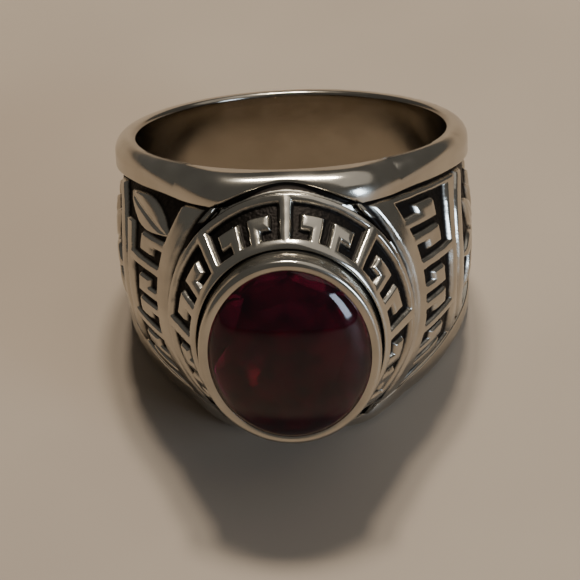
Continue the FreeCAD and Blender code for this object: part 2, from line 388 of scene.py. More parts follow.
def half_profile(turn):
    """Upper half of the profile at each angle: angle, radius, height along the finger, relief."""
    share = np.linspace(0, 1, BURIED_COLUMNS)[None]
    angle, sunk_r, sunk = sunk_part(turn, share)
    outside = band_radius(turn)
    edge = panel_edge(outside * np.cos(turn))
    sunk_a = (edge - BURIED_SHORT) * share

    fall = np.linspace(0, np.pi / 2, LIP_COLUMNS)[None]
    lip = sunk[:, :1] * BAND_EDGE_ROUND * (1 - soft_step(outside * np.cos(turn), *LIP_FADES))
    lip_a = edge + lip * (1 - np.cos(fall)) + LIP_SPREAD * fall
    lip_r = outside - lip * (1 - np.sin(fall))

    growth = soft_step(np.cos(turn), *ROUND_GROWS)
    rim_round = RIM_ROUND_BACK + (RIM_ROUND_HEAD - RIM_ROUND_BACK) * growth
    rim_round = np.minimum(rim_round, outside - BORE - HOLE_ROUND - RIM_FLAT)
    outer_share = np.linspace(0, 0.5, CORNER_COLUMNS)[None]
    outer_r, outer_a = corner(turn, outside - rim_round, rim_round, outer_share)
    hole_share = np.linspace(0.5, 1, HOLE_CORNER_COLUMNS)[None]
    hole_r, hole_a = corner(turn, BORE + HOLE_ROUND, HOLE_ROUND, hole_share)

    band_share = np.linspace(0, 1, BAND_COLUMNS)[None, 1:-1]
    band_a = lip_a[:, -1:] + (outer_a[:, :1] - lip_a[:, -1:]) * band_share
    band_r = np.broadcast_to(outside, band_a.shape)
    wall_a = hole_a[:, -1:] * np.linspace(1, 0, HOLE_COLUMNS)[None, 1:]
    wall_r = np.full_like(wall_a, BORE)

    radius = np.hstack([sunk_r, lip_r, band_r, outer_r, hole_r, wall_r])
    along = np.hstack([sunk_a, lip_a, band_a, outer_a, hole_a, wall_a])
    angles = np.broadcast_to(turn, radius.shape).copy()
    angles[:, :BURIED_COLUMNS] = angle
    relief = np.ones_like(radius)
    relief[:, :BURIED_COLUMNS] = 1 - soft_step(outside - sunk_r, 0.0, BLACK_DEPTH)
    return angles, radius, along, relief


def mirror(half, sign=1):
    """Whole profile from its upper half; sign -1 is for heights along the finger."""
    return np.hstack([half, sign * half[:, -2:0:-1]])


def shank_piece():
    """The hoop, from one profile for every row round the finger."""
    spans = [
        np.linspace(row["from"], row["to"], row["rows"], endpoint=False) for row in ROW_SPACING
    ]
    right_side = np.radians(np.concatenate(spans))
    turns = np.concatenate([right_side, [np.pi], 2 * np.pi - right_side[:0:-1]])[:, None]
    angles, radius, along, relief = half_profile(turns)
    angles, radius, relief = mirror(angles), mirror(radius), mirror(relief)
    along = mirror(along, -1)
    x, n = radius * np.sin(angles), radius * np.cos(angles)
    channel = channel_depth(x, along) * soft_step(n, *CHANNEL_STARTS)
    relief = relief * channel_relief(channel)
    shade_fades_from, shade_gone_at = (BORE + reach for reach in HOLE_SHADE_ENDS)
    # Painted shade inside the finger hole, fading out a little way over its edge
    tarnish = HOLE_PAINTED_SHADE * (1 - soft_step(radius, shade_fades_from, shade_gone_at))
    return metal_piece("shank", np.stack([x, n - channel, along], -1), relief, tarnish)


shank = shank_piece()

# %% [markdown]
# Heights of the ornament
#
# The ornament is cast relief: flat-topped strokes with softly worn edges, standing above a
# darkened ground. It could be cut with booleans, but a worn edge would then be hard to get.
# Here every stroke is described by how deep inside it a point lies. Where strokes overlap
# the larger depth wins, and a soft step turns depth into height. The same step also says
# how dark the point is.

# %% Describe strokes, leaves and the key pattern
# A stroke's section, in mm
WORN_EDGE = 0.17
STROKE_FULL = 0.085
PILLOW, PILLOW_REACH = 0.05, 0.45
LEAF_POINT = 4
# Unevenness of the casting, the ground and the wear: sizes and depths in mm
WAVER_SEED, WAVES = 5, 12
WAVE_SHORTEST, WAVE_SPREAD = 0.6, 0.8
STIPPLE_SEED, STIPPLE_DEPTH = 11, 0.016
CAST_SIZE, CAST_DRIFT = 1.3, 0.014
WEAR_SIZE, WEAR_DEPTH = 2.9, 0.04
# One unit of the key is four steps wide and five high, and its bars are given in steps
KEY_ALONG, KEY_UP = 4, 5
KEY_RAIL = 0.8
KEY_BARS = (
    {"along": (-1.0, 5.0), "up": (0.0, KEY_RAIL)},
    {"along": (-1.0, 5.0), "up": (KEY_UP - KEY_RAIL, KEY_UP + 1.0)},
    {"along": (-0.5, 0.5), "up": (0.0, KEY_UP)},
    {"along": (2.5, 3.5), "up": (2.0, KEY_UP)},
    {"along": (1.5, 3.5), "up": (2.0, 3.2)},
)


def waver(along, across, size):
    """Smooth unevenness from about -1 to 1: waves of about one size in many directions."""
    chance = np.random.default_rng(WAVER_SEED)
    total = 0
    for heading, phase, stretch in zip(*(chance.random(WAVES) for _ in range(3))):
        reach = 2 * np.pi / size * (WAVE_SHORTEST + WAVE_SPREAD * stretch)
        turn = 2 * np.pi * heading
        run = reach * (math.cos(turn) * along + math.sin(turn) * across)
        total = total + np.cos(run + 2 * np.pi * phase)
    return total / math.sqrt(WAVES)


def stipple(rows, columns):
    """Fine punched grain for the ground, a little lower or higher at every point."""
    grain = np.random.default_rng(STIPPLE_SEED).random((rows, columns)) - 0.5
    beside, below = np.roll(grain, 1, 0), np.roll(grain, 1, 1)
    return STIPPLE_DEPTH * (grain + beside + below + np.roll(grain, (1, 1), (0, 1)))


def worn_away(along, across, raised):
    """Metal that years of wear took off the raised parts, in mm."""
    return WEAR_DEPTH * (0.5 + 0.5 * waver(along, across, WEAR_SIZE)) * raised


def inside_bar(along, up, step_along, step_up, bar):
    """How far, in mm, points lie inside an upright bar; negative outside it."""
    (low, high), (bottom, top) = bar["along"], bar["up"]
    across = np.minimum(along - low, high - along) * step_along
    lengthwise = np.minimum(up - bottom, top - up) * step_up
    return np.minimum(across, lengthwise)


def inside_key(units_along, up, step_along, step_up):
    """Depth inside the key pattern; every second unit is mirrored, so keys stand in pairs."""
    unit = np.floor(units_along)
    along = (units_along - unit) * KEY_ALONG
    along = np.where(unit % 2 == 1, KEY_ALONG - along, along)
    depths = [inside_bar(along, up, step_along, step_up, bar) for bar in KEY_BARS]
    return np.maximum.reduce(depths)


def inside_leaf(n, a, root, tip, width):
    """Depth inside a pointed leaf between two points, and the distance from its vein."""
    run = tip[0] - root[0], tip[1] - root[1]
    length = math.hypot(*run)
    share = ((n - root[0]) * run[0] + (a - root[1]) * run[1]) / length**2
    away = ((a - root[1]) * run[0] - (n - root[0]) * run[1]) / length
    belly = np.sin(np.pi * np.clip(share, 0, 1)) * width / 2
    depth = np.minimum(belly - np.abs(away), LEAF_POINT * width * np.minimum(share, 1 - share))
    return depth, np.abs(away)


def height_over(depth):
    """Height above the ground, from the depth inside a stroke: worn edge, slightly full top."""
    depth = depth + STROKE_FULL
    lifted = soft_step(depth, -WORN_EDGE / 2, WORN_EDGE) * (RELIEF_DEPTH - PILLOW)
    return lifted + PILLOW * soft_step(depth, 0, PILLOW_REACH)


print("relief stands", RELIEF_DEPTH, "mm above its ground")

# %% [markdown]
# The side panels
#
# Each shoulder swells out between the bands and carries three bands of ornament: a key
# border against the crown, a plain rail, and a spray of leaves that runs down the side and
# ends in a low point. On the left the border ends in a single large leaf. The strokes could
# be drawn as curves and extruded, but they would then stand on the swelling side like cut
# card. Here each stroke is a rule that says how deep inside it a point lies, in height and
# width of the panel, so the ornament follows the swelling by itself.

# %% Lay out the ornament of a panel
# The key border lies between two heights n; its foot drops towards the bands
PANEL_UNITS = 6
PANEL_MARGIN = 0.3
KEY_TOP_N, KEY_FOOT_N, KEY_DROP = 11.35, 7.3, 2.6
TOP_RAIL_SPREAD = 0.15
UNDER_ONE = 0.9999
END_LEAF = {"u": (0.96, 0.70), "v": (0.12, 0.84), "width": 1.7}
RAIL_GAP, RAIL_WIDTH = 0.35, 0.85
# The spray: a stem with pairs of leaves that lean away from it, and one leaf on its top
STEM_FOOT, STEM_TOP, STEM_WIDTH = -4.9, 3.2, 0.45
LEAF_PAIRS, LEAF_PITCH, LEAF_LENGTH, LEAF_WIDTH = 4, 1.9, 4.2, 1.4
LEAF_LEAN = math.radians(52)
TOP_LEAF = (2.5, 5.6)
VEIN_DEPTH, VEIN_WIDTH = 0.13, 0.11


def border_point(u, v):
    """Point (n, a) of the key border: u from -1 to 1 between the bands, v up from its foot."""
    foot = KEY_FOOT_N - KEY_DROP * u * u
    n = foot + v * (KEY_TOP_N - foot)
    return n, u * (panel_edge(n) - PANEL_MARGIN)


def leaves(side):
    """Root, tip and width of every leaf on one panel."""
    if side < 0:
        (root_u, tip_u), (root_v, tip_v) = END_LEAF["u"], END_LEAF["v"]
        yield border_point(root_u, root_v), border_point(tip_u, tip_v), END_LEAF["width"]
    yield (TOP_LEAF[0], 0.0), (TOP_LEAF[1], 0.0), LEAF_WIDTH
    reach_n, reach_a = LEAF_LENGTH * math.cos(LEAF_LEAN), LEAF_LENGTH * math.sin(LEAF_LEAN)
    for pair in range(LEAF_PAIRS):
        root_n = STEM_FOOT + LEAF_PITCH * (pair + 0.5)
        for sign in (1, -1):
            yield (root_n, 0.0), (root_n + reach_n, sign * reach_a), LEAF_WIDTH


def panel_height(n, a, side):
    """Height of one panel's relief above its ground, in mm."""
    room = panel_edge(n) - PANEL_MARGIN
    u = a / room
    foot = KEY_FOOT_N - KEY_DROP * np.clip(u, -1, 1) ** 2
    tall = KEY_TOP_N - foot
    up = (n - foot) / tall * KEY_UP
    step_up = tall / KEY_UP
    step_along = 2 * room / (PANEL_UNITS * KEY_ALONG)
    units = np.clip((u + 1) / 2, 0, UNDER_ONE) * PANEL_UNITS
    top = (KEY_UP - up) * step_up + TOP_RAIL_SPREAD
    keys = np.minimum(inside_key(units, up, step_along, step_up), top)
    if side < 0:
        free = (units > PANEL_UNITS - 1) & (up < KEY_UP - KEY_RAIL / 2)
        keys = np.where(free, (up - KEY_UP + KEY_RAIL) * step_up, keys)
    rail_top = foot - RAIL_GAP
    rail = np.minimum(n - rail_top + RAIL_WIDTH, rail_top - n)
    within = room - np.abs(a)
    stem = np.minimum(STEM_WIDTH / 2 - np.abs(a), np.minimum(n - STEM_FOOT, STEM_TOP - n))
    drift = CAST_DRIFT * waver(n, a, CAST_SIZE)
    strokes = np.maximum.reduce([np.minimum(keys, within), np.minimum(rail, within), stem])
    height = height_over(strokes + drift)
    for root, tip, width in leaves(side):
        depth, away = inside_leaf(n, a, root, tip, width)
        vein = VEIN_DEPTH * np.exp(-((away / VEIN_WIDTH) ** 2)) * (depth > 0)
        height = np.maximum(height, height_over(depth + drift) - vein)
    return height


print(len(list(leaves(-1))), "leaves on the left,", len(list(leaves(1))), "on the right")

# %% [markdown]
# The panels as solid pieces
#
# On the real ring a panel is part of the casting. Here each is a grid of its own, fine
# enough for the strokes, because the shank's rows are too coarse for them. The grid's edges
# are tucked a little under the polished bands. Its last rows bend inwards as a ledge that the
# crown stands on, and a flat back lies inside the metal, clear of the finger hole.

# %% Shape the two side panels
PANEL_ROWS, PANEL_COLUMNS = 236, 205
PANEL_TUCK = 0.02
PANEL_BACK = 1.1
WALL_LEFT = 0.35
LEDGE_FROM, LEDGE_TO, LEDGE_ROWS = 0.1, 1.0, 9
LEDGE_DROP = 0.32
PANEL_CHANNEL_STARTS = (11.3, 11.9)


def panel(name, side):
    """One side panel, from its low point up to the crown, with a plain back."""
    share = np.linspace(-1, 1, PANEL_COLUMNS)[None]
    end = panel_end(share) - PANEL_TUCK
    n = end + (FOOT["n"] - end) * np.linspace(0, 1, PANEL_ROWS)[:, None]
    a = share * (panel_edge(n) + PANEL_TUCK)
    height = panel_height(n, a, side)
    raised = height / RELIEF_DEPTH
    out = shoulder_x(n, a) - RELIEF_DEPTH + height - worn_away(n, a, raised)
    out = out + stipple(*n.shape) * (1 - raised)
    out = out - channel_depth(out, a) * soft_step(n, *PANEL_CHANNEL_STARTS)

    inwards = np.linspace(LEDGE_FROM, LEDGE_TO, LEDGE_ROWS)[:, None]
    ledge = shoulder_x(n[-1:], a[-1:]) - inwards
    sink = channel_depth(ledge, a[-1:])
    out = np.vstack([out, ledge])
    n = np.vstack([n, n[-1:] - sink - LEDGE_DROP * inwards**2])
    a = np.vstack([a, np.repeat(a[-1:], LEDGE_ROWS, axis=0)])
    relief = np.vstack([raised, channel_relief(sink)])

    outermost_hole = np.sqrt(np.maximum((BORE + WALL_LEFT) ** 2 - n**2, 0))
    back = np.maximum(out - PANEL_BACK, outermost_hole)[:, [-1, 0]]
    out = np.hstack([out, back])
    n, a = (np.hstack([part, part[:, [-1, 0]]]) for part in (n, a))
    relief = np.hstack([relief, np.zeros_like(back)])
    return metal_piece(name, np.stack([side * out, n, a], -1), relief, wrap_rows=False)


right_panel = panel("right_panel", 1)
left_panel = panel("left_panel", -1)

# %% [markdown]
# The crown
#
# The crown slopes up from the shoulders to the stone, with the key pattern running round
# it between two plain rails. The real one was cast with the ring. An extruded oval with a
# bevel would give the slope, but not strokes that lean with it. So the crown is a closed
# strip of points: the slope, its rounded top edge, a fine gap before the bezel, and a hidden
# underside. The height of each stroke is added square to the slope.

# %% Shape the crown
CROWN_UNITS = 16
CROWN_ROWS = 800
SLOPE_COLUMNS = 68
SLOPE_CUT = 3
FOOT_CHANNEL_DEPTH, FOOT_CHANNEL_REACH = 0.22, 0.3
DRIFT_STRETCH = 1.2
# From the slope's top edge over the gap before the bezel, and down inside to the foot
CROWN_INSIDE = (
    {"inset": 0.049, "n": TOP["n"] - 0.049, "relief": 1.0},
    {"inset": 0.14, "n": TOP["n"], "relief": 1.0},
    {"inset": 0.20, "n": TOP["n"] - 0.03, "relief": 0.7},
    {"inset": 0.30, "n": TOP["n"] - 0.38, "relief": 0.0},
    {"inset": 0.90, "n": TOP["n"] - 1.2, "relief": 0.0},
    {"inset": 1.60, "n": TOP["n"] - 4.0, "relief": 0.0},
)
CROWN_BURIED = {"inset": 0.7, "n": 11.35, "relief": 0.0}


def crown_height(turn, share, half_x, half_a, slope):
    """Height of the key pattern on the slope; share runs from 0 at the foot to 1."""
    speed = np.hypot(half_x * np.cos(turn), half_a * np.sin(turn))
    step_along = speed * 2 * np.pi / (CROWN_UNITS * KEY_ALONG)
    units = turn / (2 * np.pi) * CROWN_UNITS + 0 * share
    depth = inside_key(units, share * KEY_UP, step_along, slope / KEY_UP)
    depth = np.minimum(depth, share * slope + WORN_EDGE)
    along, across = TOP["x"] * np.sin(turn), TOP["a"] * np.cos(turn)
    drift = waver(along * DRIFT_STRETCH + share, across * DRIFT_STRETCH - share * slope, CAST_SIZE)
    return height_over(depth + CAST_DRIFT * drift)


def crown_slope(turn):
    """The slope's x, n, a and relief, and the direction in which each oval faces."""
    share = np.linspace(0, 1, SLOPE_COLUMNS)[None]
    half_x = FOOT["x"] + share * (TOP["x"] - FOOT["x"])
    half_a = FOOT["a"] + share * (TOP["a"] - FOOT["a"])
    rise, run = TOP["n"] - FOOT["n"], FOOT["x"] - TOP["x"]
    slope = math.hypot(rise, run)
    height = crown_height(turn, share, half_x, half_a, slope)
    raised = height / RELIEF_DEPTH
    foot_channel = FOOT_CHANNEL_DEPTH * (1 - soft_step(share * slope, 0.0, FOOT_CHANNEL_REACH))
    worn = worn_away(TOP["x"] * np.sin(turn), TOP["a"] * np.cos(turn), raised)
    grain = stipple(*height.shape) * (1 - raised)
    sink = RELIEF_DEPTH - height + foot_channel + worn - grain
    away = np.stack([np.sin(turn) / half_x, np.cos(turn) / half_a])
    away = away / np.hypot(*away)
    x = half_x * np.sin(turn) - away[0] * sink * rise / slope
    a = half_a * np.cos(turn) - away[1] * sink * rise / slope
    n = FOOT["n"] + share * rise - sink * run / slope
    return (x, n, a, raised), away


def inset_ring(oval, turn, away, row):
    """x, n, a and relief of one ring of points, moved in from an oval by the row's inset."""
    x = oval["x"] * np.sin(turn) - away[0] * row["inset"]
    a = oval["a"] * np.cos(turn) - away[1] * row["inset"]
    return x, row["n"] + 0 * turn, a, row["relief"] + 0 * turn


def crown_piece():
    """The whole strip: the slope without its last columns, the edge, the gap and the inside."""
    turn = np.linspace(0, 2 * np.pi, CROWN_ROWS, endpoint=False)[:, None]
    slope_parts, away = crown_slope(turn)
    kept = [part[:, :-SLOPE_CUT] for part in slope_parts]
    rings = [inset_ring(TOP, turn, away[..., -1:], row) for row in CROWN_INSIDE]
    rings.append(inset_ring(FOOT, turn, away[..., :1], CROWN_BURIED))
    x, n, a, relief = (np.hstack(parts) for parts in zip(kept, *rings))
    return metal_piece("crown", np.stack([x, n, a], -1), relief)


crown = crown_piece()

# %% [markdown]
# The bezel
#
# The bezel is a thin upright wall whose lip was pushed over the stone and then polished, so
# its top is a round bead. Below the stone it is closed by the seat that the stone rests in.
# A screw modifier could turn the profile, but only round a circle. So the profile is laid
# out for every angle of the oval: from the middle of the seat out to the wall, over the
# lip, down the outside, and back under the seat.

# %% Shape the bezel
BEZEL_ROWS = 420
LIP_STEPS = 10
LIP_OVER_STONE = 0.12
LIP_INNER_N = 16.70
LIP_INNER_ROUND, LIP_OUTER_ROUND = 0.05, 0.30
PAVILION_MID_N, PAVILION_MID = 14.2, 0.62
CULET_N = 13.2
# share is a part of the stone's oval, and wall is what stands outside that, in mm
BEZEL_INSIDE = (
    {"share": 0.0, "wall": 0.0, "n": CULET_N - 2 * STONE_GAP, "relief": 0.8},
    {"share": PAVILION_MID, "wall": STONE_GAP, "n": PAVILION_MID_N - 2 * STONE_GAP, "relief": 0.8},
    {"share": 1.0, "wall": STONE_GAP, "n": GIRDLE_BOTTOM - STONE_GAP, "relief": 0.8},
    {"share": 1.0, "wall": STONE_GAP, "n": GIRDLE_TOP, "relief": 0.1},
    {"share": 1.0, "wall": -LIP_OVER_STONE, "n": LIP_INNER_N, "relief": 0.6},
)
# Down the outer wall the relief falls to 0: painted shade on the wall just above the crown, antiquing
# black in the gap below it
BEZEL_OUTSIDE = (
    {"share": 1.0, "wall": BEZEL_WALL, "n": BEZEL_TOP - 0.6, "relief": 1.0},
    {"share": 1.0, "wall": BEZEL_WALL, "n": TOP["n"] + 0.35, "relief": 0.95},
    {"share": 1.0, "wall": BEZEL_WALL, "n": TOP["n"] + 0.05, "relief": 0.35},
    {"share": 1.0, "wall": BEZEL_WALL, "n": TOP["n"] - 0.4, "relief": 0.0},
    {"share": 1.0, "wall": BEZEL_WALL - 0.2, "n": CULET_N, "relief": 0.0},
    {"share": 0.0, "wall": 0.0, "n": CULET_N - 0.6, "relief": 0.0},
)


def lip_rows():
    """The lip: a slow rise from the stone outwards, then a round bead."""
    for step in range(LIP_STEPS + 1):
        share = step / LIP_STEPS
        wall = -LIP_OVER_STONE + share * (BEZEL_WALL + LIP_OVER_STONE - LIP_OUTER_ROUND)
        level = LIP_INNER_N + LIP_INNER_ROUND * math.sin(math.pi / 2 * share)
        yield {"share": 1.0, "wall": wall, "n": level, "relief": 1.0}
    for step in range(1, LIP_STEPS + 1):
        angle = math.pi / 2 * (1 - step / LIP_STEPS)
        wall = BEZEL_WALL - LIP_OUTER_ROUND * (1 - math.cos(angle))
        level = BEZEL_TOP - LIP_OUTER_ROUND * (1 - math.sin(angle))
        yield {"share": 1.0, "wall": wall, "n": level, "relief": 1.0}


def bezel_piece():
    """The bezel's profile, laid out round the stone's oval."""
    rows = [*BEZEL_INSIDE, *lip_rows(), *BEZEL_OUTSIDE]
    share, wall, level, relief = (
        np.array([row[key] for row in rows])[None] for key in ("share", "wall", "n", "relief")
    )
    turn = np.linspace(0, 2 * np.pi, BEZEL_ROWS, endpoint=False)[:, None]
    x = (STONE_X * share + wall) * np.sin(turn)
    a = (STONE_A * share + wall) * np.cos(turn)
    return metal_piece("bezel", np.stack([x, level + 0 * turn, a], -1), relief, wrap_columns=False)


bezel = bezel_piece()

# %% [markdown]
# The stone
#
# The stone is an oval of deep red glass with a low dome and a faceted back. Half a sphere,
# stretched, would give the dome, but its outline would not meet the facets point by point.
# So the dome is built of rings, from the girdle up, that keep the packed model's outline.
# The back has two rows of flat facets, which give the stone its glints from inside.

# %% Shape the stone
STONE_ROWS = 192
DOME_COLUMNS = 28
FACET_SIDES = 8


def stone_rings(shape):
    """Points of the girdle and the dome, ring above ring."""
    turn = 2 * np.pi * np.arange(STONE_ROWS) / STONE_ROWS
    arc = np.pi / 2 * np.linspace(0, 1, DOME_COLUMNS)[:-1]
    sizes = [(1.0, GIRDLE_BOTTOM)]
    sizes += [(math.cos(rise), GIRDLE_TOP + DOME_HEIGHT * math.sin(rise)) for rise in arc]
    rings = []
    for size, level in sizes:
        points = place(STONE_X * size * np.sin(turn), level, STONE_A * size * np.cos(turn))
        rings.append([shape.verts.new(point) for point in points])
    return rings


def join_dome(shape, rings):
    """Smooth faces between the rings, and a fan up to the top of the dome."""
    top = shape.verts.new(place(0.0, GIRDLE_TOP + DOME_HEIGHT, 0.0))
    for k in range(STONE_ROWS):
        following = (k + 1) % STONE_ROWS
        for lower, upper in zip(rings, rings[1:]):
            corners = lower[k], lower[following], upper[following], upper[k]
            shape.faces.new(corners).smooth = True
        shape.faces.new((rings[-1][k], rings[-1][following], top)).smooth = True


def join_facets(shape, girdle):
    """Flat facets behind: eight round the girdle, eight between them, and eight to the point."""
    spread = STONE_ROWS // (2 * FACET_SIDES)
    middle = []
    for side in range(FACET_SIDES):
        angle = 2 * math.pi * side / FACET_SIDES
        x, a = STONE_X * math.sin(angle), STONE_A * math.cos(angle)
        middle.append(shape.verts.new(place(PAVILION_MID * x, PAVILION_MID_N, PAVILION_MID * a)))
    point = shape.verts.new(place(0.0, CULET_N, 0.0))
    for side in range(FACET_SIDES):
        here, following = middle[side], middle[(side + 1) % FACET_SIDES]
        start = 2 * side * spread
        first = [girdle[(start + k) % STONE_ROWS] for k in range(spread + 1)]
        second = [girdle[(start + spread + k) % STONE_ROWS] for k in range(spread + 1)]
        for edge, end in ((first, here), (second, following)):
            for one, other in zip(edge, edge[1:]):
                shape.faces.new((one, other, end))
        shape.faces.new((here, first[-1], following))
        shape.faces.new((here, following, point))


def stone_mesh():
    """Closed stone from its rings, its dome and its facets."""
    shape = bmesh.new()
    rings = stone_rings(shape)
    join_dome(shape, rings)
    join_facets(shape, rings[0])
    bmesh.ops.recalc_face_normals(shape, faces=shape.faces)
    mesh = bpy.data.meshes.new("red_stone")
    shape.to_mesh(mesh)
    shape.free()
    return mesh


red_stone = bpy.data.objects.new("red_stone", stone_mesh())
bpy.context.scene.collection.objects.link(red_stone)
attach(red_stone, "root")
print("red_stone:", len(red_stone.data.polygons), "faces")

# %% [markdown]
# Antiqued silver
#
# The whole casting is one metal in two states. Where a buffing wheel reached it, it is
# bright and a little warm, with fine scratches. Where it did not, it was left with the
# black of the antiquing bath. Vertex paint or a mask image could hold that pattern. Here
# the grid already knows how high each point stands, so the material reads that number and
# breaks its border up with noise, because a wheel never stops at an even line.

# %% Add nodes to a material with short helpers


class Recipe:
    """A material and a short way to add nodes to it."""

    def __init__(self, name):
        self.material = bpy.data.materials.new(name)
        self.material.use_nodes = True
        self.tree = self.material.node_tree
        self.shader = self.tree.nodes["Principled BSDF"]

    def add(self, kind, settings=None, **inputs):
        """Node of one kind; inputs are numbers, colours or other nodes' outputs."""
        node = self.tree.nodes.new(kind)
        for key, value in (settings or {}).items():
            setattr(node, key, value)
        for key, value in inputs.items():
            self.feed(node.inputs[key.replace("_", " ")], value)
        return node

    def feed(self, socket, value):
        """Link an output to a socket, or set the socket's own value."""
        if isinstance(value, bpy.types.NodeSocket):
            self.tree.links.new(value, socket)
        else:
            socket.default_value = value

    def spots(self, size_mm, detail, stretch=(1, 1, 1)):
        """Noise with features of about size_mm, the same from every side."""
        coordinates = self.add("ShaderNodeTexCoord").outputs["Object"]
        mapping = self.add("ShaderNodeMapping", Vector=coordinates, Scale=stretch)
        fineness = 1 / (size_mm * MM)
        own = mapping.outputs["Vector"]
        noise = self.add("ShaderNodeTexNoise", Vector=own, Scale=fineness, Detail=detail)
        return noise.outputs["Fac"]

    def point_number(self, name):
        """The number that a mesh carries under this name at each of its points."""
        return self.add("ShaderNodeAttribute", {"attribute_name": name}).outputs["Fac"]

    def calculate(self, operation, first, second):
        """Sum, product or maximum of two numbers or outputs."""
        node = self.add("ShaderNodeMath", {"operation": operation})
        self.feed(node.inputs[0], first)
        self.feed(node.inputs[1], second)
        return node.outputs[0]

    def uneven(self, noise, share):
        """Noise moved to lie round 0, and weakened to a share of itself."""
        return self.calculate("MULTIPLY", self.calculate("SUBTRACT", noise, 0.5), share)

    def span(self, value, low, high, to_low=0.0, to_high=1.0):
        """Soft rise from to_low to to_high while the value goes from low to high."""
        node = self.add("ShaderNodeMapRange", {"interpolation_type": "SMOOTHSTEP"}, Value=value)
        ends = {"From Min": low, "From Max": high, "To Min": to_low, "To Max": to_high}
        for key, number in ends.items():
            node.inputs[key].default_value = number
        return node.outputs["Result"]

    def mix(self, factor, first, second):
        """Colour between the first and the second, by the factor."""
        node = self.tree.nodes.new("ShaderNodeMix")
        node.data_type = "RGBA"
        self.feed(node.inputs["Factor"], factor)
        self.feed(node.inputs["A"], first)
        self.feed(node.inputs["B"], second)
        return node.outputs["Result"]


print("helpers:", [name for name in vars(Recipe) if not name.startswith("_")])

# %% [markdown]
# The silver itself
#
# Worn silver is never one colour. It is bright where it is handled, and cloudy where a thin
# dull layer has begun to form; inside the hoop it carries painted shade. Each of these is a
# layer here: the height of a point chooses between bright and black, a second number paints
# shade into the finger hole, and noise of a few millimetres spreads the cloudy layer.
# Scratches and small dents are bump alone, because they are far finer than the grid.

# %% Mix the silver
POLISHED = (0.60, 0.57, 0.505, 1.0)
# The dull tone below serves the hazy clouds and also the painted shade in the finger hole
TARNISH_AND_SHADE = (0.34, 0.31, 0.265, 1.0)
BLACKENED = (0.018, 0.016, 0.015, 1.0)
BLOTCH = {"size_mm": 3.2, "detail": 3.0}
GRIT = {"size_mm": 0.16, "detail": 3.0}
SMUDGE = {"size_mm": 2.6, "detail": 4.0}
DENTS = {"size_mm": 0.7, "detail": 3.0}
SCRATCH_ALONG = {"size_mm": 0.05, "detail": 2.0, "stretch": (1.0, 0.12, 0.12)}
SCRATCH_ACROSS = {"size_mm": 0.05, "detail": 2.0, "stretch": (0.12, 0.5, 1.0)}
BORDER_UNEVEN = 0.22
BRIGHT_FROM, BRIGHT_TO = 0.14, 0.62
FILM_SPAN, FILM_MOST = (0.35, 0.75), 0.4
SMUDGE_SPAN = (0.3, 0.75)
POLISH_SMOOTH, POLISH_ROUGH, BLACK_ROUGH = 0.11, 0.25, 0.55
DENT_SHARE = 0.8
BUMP_STRENGTH, BUMP_HEIGHT = 0.07, 0.02 * MM


def antiqued_silver():
    """One silver for all metal, point by point: polished, filmed over, blackened, painted shade in the
    hole.
    """
    recipe = Recipe("antiqued_silver")
    shader = recipe.shader
    blotch = recipe.spots(**BLOTCH)
    level = recipe.point_number("relief")
    level = recipe.calculate("ADD", level, recipe.uneven(recipe.spots(**GRIT), BORDER_UNEVEN))
    level = recipe.calculate("ADD", level, recipe.uneven(blotch, BORDER_UNEVEN))
    bright = recipe.span(level, BRIGHT_FROM, BRIGHT_TO)
    clouds = recipe.span(blotch, *FILM_SPAN, 0.0, FILM_MOST)
    # The finger hole's painted shade and the real hazy clouds share one mix here
    film_and_shade = recipe.calculate("MAXIMUM", recipe.point_number("tarnish"), clouds)
    tone = recipe.mix(film_and_shade, POLISHED, TARNISH_AND_SHADE)
    recipe.feed(shader.inputs["Base Color"], recipe.mix(bright, BLACKENED, tone))
    shader.inputs["Metallic"].default_value = 1.0

    polish = recipe.span(recipe.spots(**SMUDGE), *SMUDGE_SPAN, POLISH_SMOOTH, POLISH_ROUGH)
    rough = recipe.add("ShaderNodeMix", {"data_type": "FLOAT"}, Factor=bright, A=BLACK_ROUGH, B=polish)
    recipe.feed(shader.inputs["Roughness"], rough.outputs["Result"])

    scratches = recipe.calculate("ADD", recipe.spots(**SCRATCH_ALONG), recipe.spots(**SCRATCH_ACROSS))
    dents = recipe.calculate("MULTIPLY", recipe.spots(**DENTS), DENT_SHARE)
    height = recipe.calculate("ADD", scratches, dents)
    bump = recipe.add("ShaderNodeBump", Strength=BUMP_STRENGTH, Distance=BUMP_HEIGHT, Height=height)
    recipe.feed(shader.inputs["Normal"], bump.outputs["Normal"])
    return recipe.material


silver = antiqued_silver()
metal_pieces = (shank, right_panel, left_panel, crown, bezel)
for piece in metal_pieces:
    piece.data.materials.append(silver)
    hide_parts("ring_body")
print("silver on", len(metal_pieces), "pieces")

# %% [markdown]
# The red stone's material
#
# The stone looks nearly black from outside, with dark red where light comes back from its
# facets. Real glass does this by soaking up all but the red along the light's way. A plain
# coloured surface would look like plastic, so the shader lets most of the light through and
# tints it as it goes in and out. Clouds of a darker tint and a slightly worn polish keep the
# stone from looking like clean lab glass.

# %% Mix the red glass
STONE_TINT = (0.24, 0.005, 0.044, 1.0)
STONE_SHADE = (0.055, 0.0025, 0.024, 1.0)
STONE_CLOUDS = {"size_mm": 1.6, "detail": 3.0}
STONE_CLOUD_SPAN = (0.35, 0.7)
STONE_WEAR = {"size_mm": 0.6, "detail": 4.0}
STONE_WEAR_SPAN = (0.35, 0.75)
STONE_SMOOTH, STONE_ROUGH = 0.05, 0.11
STONE_CLEAR = 0.88
STONE_IOR = 1.50
STONE_SPECULAR = 0.35


